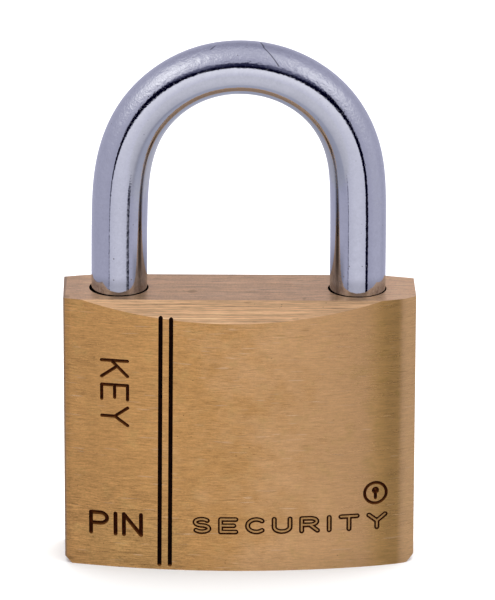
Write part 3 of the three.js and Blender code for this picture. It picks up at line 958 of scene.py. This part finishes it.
def spline(points, n):
    """Natural cubic spline through the points, n samples at even arc length."""
    p = np.array(points, float)
    t = np.concatenate([[0], np.cumsum(np.linalg.norm(np.diff(p, axis=0), axis=1))])
    h = np.diff(t)
    k = len(p)
    a = np.eye(k)
    rhs = np.zeros((k, p.shape[1]))
    for i in range(1, k - 1):
        a[i, i - 1 : i + 2] = [h[i - 1], 2 * (h[i - 1] + h[i]), h[i]]
        rhs[i] = 6 * ((p[i + 1] - p[i]) / h[i] - (p[i] - p[i - 1]) / h[i - 1])
    m2 = np.linalg.solve(a, rhs)

    def at(q):
        i = np.clip(np.searchsorted(t, q) - 1, 0, k - 2)
        d0, d1 = q - t[i], t[i + 1] - q
        hh = h[i]
        return (
            m2[i] * (d1**3 / (6 * hh))[:, None] + m2[i + 1] * (d0**3 / (6 * hh))[:, None]
            + (p[i] / hh[:, None] - m2[i] * (hh / 6)[:, None]) * d1[:, None]
            + (p[i + 1] / hh[:, None] - m2[i + 1] * (hh / 6)[:, None]) * d0[:, None]
        )

    fine = at(np.linspace(0, t[-1], n * 8))
    s = np.concatenate([[0], np.cumsum(np.linalg.norm(np.diff(fine, axis=0), axis=1))])
    q = np.linspace(0, s[-1], n)
    return np.stack([np.interp(q, s, fine[:, i]) for i in range(p.shape[1])], 1)


def smooth_path(p, sigma_mm):
    """Smooths the direction along the path, so that the curvature has no steps, and keeps the ends."""
    d = np.diff(p, axis=0)
    step = np.linalg.norm(d, axis=1).mean()
    ang = np.unwrap(np.arctan2(d[:, 1], d[:, 0]))
    w = int(4 * sigma_mm / step)
    k = np.exp(-0.5 * (np.arange(-w, w + 1) * step / sigma_mm) ** 2)
    k /= k.sum()
    ang = np.convolve(np.pad(ang, w, mode="edge"), k, "valid")
    q = np.concatenate([[p[0]], p[0] + np.cumsum(np.stack([np.cos(ang), np.sin(ang)], 1) * step, axis=0)])
    drift = p[-1] - q[-1]
    f = np.linspace(0, 1, len(q))
    f = f * f * (3 - 2 * f)
    return q + f[:, None] * drift


def settle(x, h):
    """The shackle stands a little to the left in its clearance, more so the higher up, and its legs are not quite alike."""
    lean = 0.12 + 0.05 * smoothstep(8.0, 20.0, h)
    own = 0.06 * math.exp(-(((h - 13.5) / 5.0) ** 2)) if x < 0 else -0.04 * math.exp(-(((h - 14.5) / 4.0) ** 2))
    return (x - lean + own * min(abs(x) / 10.0, 1.0), h * (1.0 - 0.08 / 26.2))


path = smooth_path(spline([settle(x_, h_) for x_, h_ in ARCH], 420), 1.6)
seg = 72
verts, faces, rings = [], [], []


def add_ring(c, n_dir, r):
    """A circle in the plane spanned by n_dir (in XZ) and Y."""
    ids = []
    for i in range(seg):
        a = 2 * math.pi * i / seg
        ids.append(len(verts))
        verts.append((c[0] + r * math.cos(a) * n_dir[0], r * math.sin(a), c[1] + r * math.cos(a) * n_dir[1]))
    rings.append(ids)


# heel leg from its end up, over the bend, down to the toe
heel = [(2.76, 6.9), (3.16, 7.3), (3.16, 8.75), (3.01, 8.9), (1.83, 8.9), (1.78, 8.95), (1.78, 21.6), (1.83, 21.7), (2.96, 21.7), (3.16, 21.9), (3.16, 26.0), (3.17, 31.0)]
verts.append((13.36, 0, 6.9))
for r_, z_ in heel:
    add_ring((13.36, z_), (1, 0), r_)
L = len(path)
for i in range(0, L):
    a = path[max(i - 1, 0)]
    b_ = path[min(i + 1, L - 1)]
    t = (b_ - a) / np.linalg.norm(b_ - a)
    nrm = (t[1], -t[0])
    add_ring((path[i][0], BODY_H + path[i][1]), nrm, 3.18 - 0.15 * smoothstep(10.0, 26.0, path[i][1]))
for r_, z_ in [(3.17, 31.0), (3.16, 26.0), (3.16, 21.9), (3.03, 21.55), (2.66, 21.4)]:
    add_ring((-13.74, z_), (-1, 0), r_)
verts.append((-13.74, 0, 21.4))
for a, b_ in zip(rings[:-1], rings[1:]):
    for k in range(seg):
        j = (k + 1) % seg
        faces.append((a[k], a[j], b_[j], b_[k]))
for k in range(seg):
    j = (k + 1) % seg
    faces.append((0, rings[0][j], rings[0][k]))
    faces.append((len(verts) - 1, rings[-1][k], rings[-1][j]))
shackle = obj("shackle_steel", (verts, faces))
set_all(shackle, CHROME)
inner = LEG_X - LEG_R


def notch(sign):
    x_in, x_floor = inner - 2, inner + 1.6
    poly = [(x_in, 24.1 - 0.0), (x_floor - 0.25, 24.1), (x_floor, 24.35), (x_floor, 29.05), (x_floor - 0.25, 29.3), (x_in, 29.3)]
    return prism([(sign * a, z) for a, z in poly], -4, 4, "xz")


for s in (-1, 1):
    cut = obj("cut", notch(s))
    set_all(cut, CHROME)
    boolean(shackle, cut)
tidy(shackle)
finish_piece(shackle, "shackle", ["shackle"], [CHROME], 28.0)

# ---------------------------------------------------------------- plug
quarter = Matrix.Rotation(math.pi / 2, 4, "Z")
KEYWAY = [
    (-2.2, -0.35), (-1.0, -0.35), (-1.0, -0.8), (1.7, -0.8), (1.7, -0.2), (2.6, -0.2), (2.6, -0.8), (4.8, -0.8),
    (4.8, 0.8), (1.2, 0.8), (1.2, 0.25), (0.3, 0.25), (0.3, 0.8), (-1.0, 0.8), (-1.0, 0.35), (-2.2, 0.35),
]
plug = obj("plug_brass", lathe([(0, PLUG_LOW), (3.95, PLUG_LOW), (4.16, 0.38), (PLUG_R, 0.58), (PLUG_R, 17.4), (3.58, 17.4), (3.58, 18.8), (PLUG_R, 18.8), (PLUG_R, PLUG_TOP), (0, PLUG_TOP)], 96))
set_all(plug, TURNED)
tail = obj("tail", prism([(-1.7, -0.6), (1.7, -0.6), (1.7, 0.6), (-1.7, 0.6)], PLUG_TOP - 0.2, 21.4))
set_all(tail, TURNED)
boolean(plug, tail, "UNION")
key = obj("cut", prism(KEYWAY, -1, 16.9))
set_all(key, BORE)
boolean(plug, key)
for z in PIN_Z:
    cut = obj("cut", rod("x", CHAMBER_R, -6, 1.0, 0, z, 40))
    set_all(cut, BORE)
    boolean(plug, cut)
tidy(plug)
plug.data.transform(quarter)
finish_piece(plug, "plug", ["plug"], [], 30.0)


# ---------------------------------------------------------------- caps and pins that show on the outside
def cap(name, r, x_in, z, node, cham=0.05):
    o = obj(name, lathe([(0, -BODY_W / 2 + 0.02), (r - cham, -BODY_W / 2 + 0.02), (r, -BODY_W / 2 + 0.02 + cham), (r, x_in - 0.2), (r - 0.2, x_in), (0, x_in)], 48, "x", (0, 0, z)))
    me2 = o.data
    uv2 = me2.uv_layers.new(name="grain")
    for poly in me2.polygons:
        for li in poly.loop_indices:
            co = me2.vertices[me2.loops[li].vertex_index].co
            uv2.data[li].uv = (co.y, co.z + co.x)
    finish_piece(o, "body", [node], [BRASS], 30.0)


for i, z in enumerate(PIN_Z):
    cap(f"chamber_cap_{i + 1}_brass", CHAMBER_R - 0.03, -15.2, z, f"chamber_cap_{i + 1}")
cap("bolt_bore_cap_brass", BOLT_BORE - 0.04, -17.2, BOLT_Z, "bolt_bore_cap", 0.07)
for name, r, x_, z_, y_in, node in (
    ("shackle_pin_steel", 0.84, 10.73, 20.7, -3.5, "shackle_retaining_pin"),
    ("plug_pin_steel", 0.70, 4.3, 18.1, -2.4, "plug_retaining_pin"),
):
    y_out = back_depth(x_) - 0.06
    o = obj(name, lathe([(0, y_in), (r - 0.2, y_in), (r, y_in + 0.2), (r, y_out - 0.1), (r - 0.12, y_out), (0, y_out)], 40, "y", (x_, 0, z_)))
    # lathe about y keeps (x, z) in its own order
    finish_piece(o, "body", [node], [STEEL], 30.0)


# ---------------------------------------------------------------- springs
def coil(name, outer, wire, length, turns, dead, seg_turn=28, sides=10):
    """A compression spring about Z from 0 to length with closed end turns."""
    n = int(turns * seg_turn)
    r = outer - wire
    ts = np.linspace(0, 1, n + 1)
    # pitch is small at both ends (closed turns) and even in between
    w = np.ones(n)
    for i in range(n):
        turn = i / seg_turn
        e = min(turn, turns - turn)
        w[i] = 0.0 if e < dead else 1.0
    k = np.ones(9) / 9
    w = np.convolve(np.pad(w, 4, mode="edge"), k, "valid")
    tight = 2 * wire * 1.04 / seg_turn
    free = (length - 2 * wire - tight * n) / w.sum()
    zc = wire + np.concatenate([[0], np.cumsum(tight + free * w)])
    c = np.stack([r * np.cos(2 * math.pi * ts * turns), r * np.sin(2 * math.pi * ts * turns), zc], 1)
    vs, fs, rs = [], [], []
    for i in range(n + 1):
        t = c[min(i + 1, n)] - c[max(i - 1, 0)]
        t /= np.linalg.norm(t)
        out = np.array([c[i][0], c[i][1], 0.0])
        out /= np.linalg.norm(out)
        out -= t * (out @ t)
        out /= np.linalg.norm(out)
        side = np.cross(t, out)
        ids = []
        for j in range(sides):
            a = 2 * math.pi * j / sides
            ids.append(len(vs))
            vs.append(c[i] + wire * (math.cos(a) * out + math.sin(a) * side))
        rs.append(ids)
    for a, b2 in zip(rs[:-1], rs[1:]):
        for k2 in range(sides):
            j = (k2 + 1) % sides
            fs.append((a[k2], a[j], b2[j], b2[k2]))
    fs.append(tuple(rs[0][::-1]))
    fs.append(tuple(rs[-1]))
    return np.array(vs), fs


for i, z in enumerate(PIN_Z):
    v, f = coil("s", 0.97, 0.13, 6.5, 8.5, 1.2)
    v = np.stack([-8.45 - v[:, 2], v[:, 0], v[:, 1] + z], 1)
    o = obj(f"driver_spring_{i + 1}_wire", (v, f))
    finish_piece(o, "body", [f"driver_spring_{i + 1}"], [WIRE], 40.0, False)
    f"tumbler_driver_{i + 1}"
    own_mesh(o)
v, f = coil("s", 2.95, 0.28, 4.4, 5.5, 0.8, 40, 12)
v = np.stack([v[:, 0] + LEG_X, v[:, 1], v[:, 2] + 2.35], 1)
o = obj("shackle_spring_wire", (v, f))
finish_piece(o, "body", ["shackle_spring"], [WIRE], 40.0, False)

# ---------------------------------------------------------------- CAD pieces that keep their shape
for name, mat in [("cam", STEEL), ("bolt_toe", STEEL), ("bolt_heel", STEEL)] + [(f"driver_pin_{i}", STEEL) for i in range(1, 6)] + [(f"key_pin_{i}", TURNED) for i in range(1, 6)]:
    node = frame["nodes"][name]
    node.data.materials.clear()
    node.data.materials.append(mat)

# ---------------------------------------------------------------- floor and light
floor_mesh = bpy.data.meshes.new("floor")
S = 3.0
floor_mesh.from_pydata([(-S, -S, 0), (S, -S, 0), (S, S, 0), (-S, S, 0)], [], [(0, 1, 2, 3)])
floor = new_object("floor", floor_mesh)
floor.location.z = cad_lo.z
m, g, b, p, tc = material("floor_paper")
fx_, fy_, fz_ = g.split(p)
g.put(b.inputs["Base Color"], g.mix(g.noise(g.join(fx_ * 0.02, fy_ * 0.02, 0.0), 1.0, 2.0, 0.5), (0.86, 0.86, 0.865), (0.88, 0.88, 0.88)))
b.inputs["Roughness"].default_value = 0.9
b.inputs["Specular IOR Level"].default_value = 0.0
floor_mesh.materials.append(m)
floor.visible_glossy = False

sun_data = bpy.data.lights.new("sun", "SUN")
sun_data.energy = 2.6
sun_data.angle = math.radians(70)
sun = bpy.data.objects.new("sun", sun_data)
scene.collection.objects.link(sun)
sun.rotation_euler = (math.radians(-12), math.radians(8), 0)
sun.visible_glossy = False

world = bpy.data.worlds.new("studio")
scene.world = world
world.use_nodes = True
g = G(world.node_tree)
out = g.nodes.new("ShaderNodeOutputWorld")
bg = g.nodes.new("ShaderNodeBackground")
tc = g.nodes.new("ShaderNodeTexCoord")
dx, dy, dz = g.split(V(g, tc.outputs["Generated"]))
DEG = 57.29578
az = dx.atan2(-dy) * DEG
el = dz.max(-1.0).min(1.0).arcsin() * DEG


# brightness as a chrome ball shows it, in display values: lilac walls with two soft overhead lights,
# a bright doorway in front with a black frame, and a grey table below
wall = bell(az, -62.0, 40.0, 32.0) * bell(el, 46.0, 21.0, 21.0) * 100.0
wall = wall + bell(az, 62.0, 26.0, 26.0) * bell(el, 42.0, 20.0, 20.0) * 74.0
wall = wall + 149.0 + az.smooth(42.0, 75.0) * az.smooth(125.0, 95.0) * 9.0 + el.smooth(50.0, 78.0) * 16.0
wall = wall + az.abs().smooth(118.0, 165.0) * (6.0 - bell(el, 52.0, 25.0, 20.0) * 24.0) + bell(az, 0.0, 38.0, 38.0) * bell(el, 62.0, 16.0, 18.0) * 6.0 + bell(az, -65.0, 30.0, 14.0) * bell(el, 0.0, 20.0, 20.0) * 5.0
door = el.smooth(-21.0, 4.0) * 25.0 + 184.0 - (az / 30.0).pow(2.0) * 8.0
table = bell(az, -2.0, 42.0, 40.0) * 36.0 + 147.0 + az.smooth(46.0, 68.0) * 14.0 - bell(az, 46.0, 5.0, 7.0) * 14.0
deep = el.smooth(-38.0, -80.0)
table = table * (1.0 - deep) + deep * 164.0
lift = (el + 20.0).max(0.0) / 32.0
right_in = (az.abs() / 31.0).pow(3.0) + lift.pow(3.0)
left_in = ((az.abs() + bell(el, -5.0, 9.0, 12.0) * 4.0) / 40.6).pow(2.2) + lift.pow(2.2)
side_mix = az.smooth(-4.0, 4.0)
inner_f = right_in * side_mix + left_in * (1.0 - side_mix)
outer_f = (az.abs() / 41.5).pow(side_mix * 1.4 + 2.8) + (el.max(0.0) / 35.0).pow(side_mix * 1.4 + 2.8)
in_outer = outer_f.smooth(1.05, 0.95)
in_inner = inner_f.smooth(1.06, 0.94)
above = el.smooth(-21.6, -19.5)
frame_v = az.smooth(-40.0, -50.0) * 25.0 + 3.0 + el.smooth(19.0, 26.0) * (az.abs().smooth(4.0, 14.0) * 52.0 + 36.0)
shown = wall * (1.0 - in_outer) + frame_v * in_outer
shown = shown * (1.0 - in_inner) + door * in_inner
shown = shown * above + table * (1.0 - above)
blue = shown + (24.0 - (shown - 150.0).max(0.0) * 0.13) * above + (1.0 - above) * 16.0
er = (shown / 255.0).pow(2.2) / 0.62
eg = ((shown + 1.0) / 255.0).pow(2.2) / 0.63
eb = (blue / 255.0).pow(2.2) / 0.66
col = g.join(er, eg, eb)
lp = g.nodes.new("ShaderNodeLightPath")
is_gloss = V(g, lp.outputs["Is Glossy Ray"])
final = g.mix(is_gloss, (1.0, 1.0, 1.0), col)
g.put(bg.inputs["Color"], final)
bg.inputs["Strength"].default_value = 1.0
g.links.new(bg.outputs[0], out.inputs["Surface"])
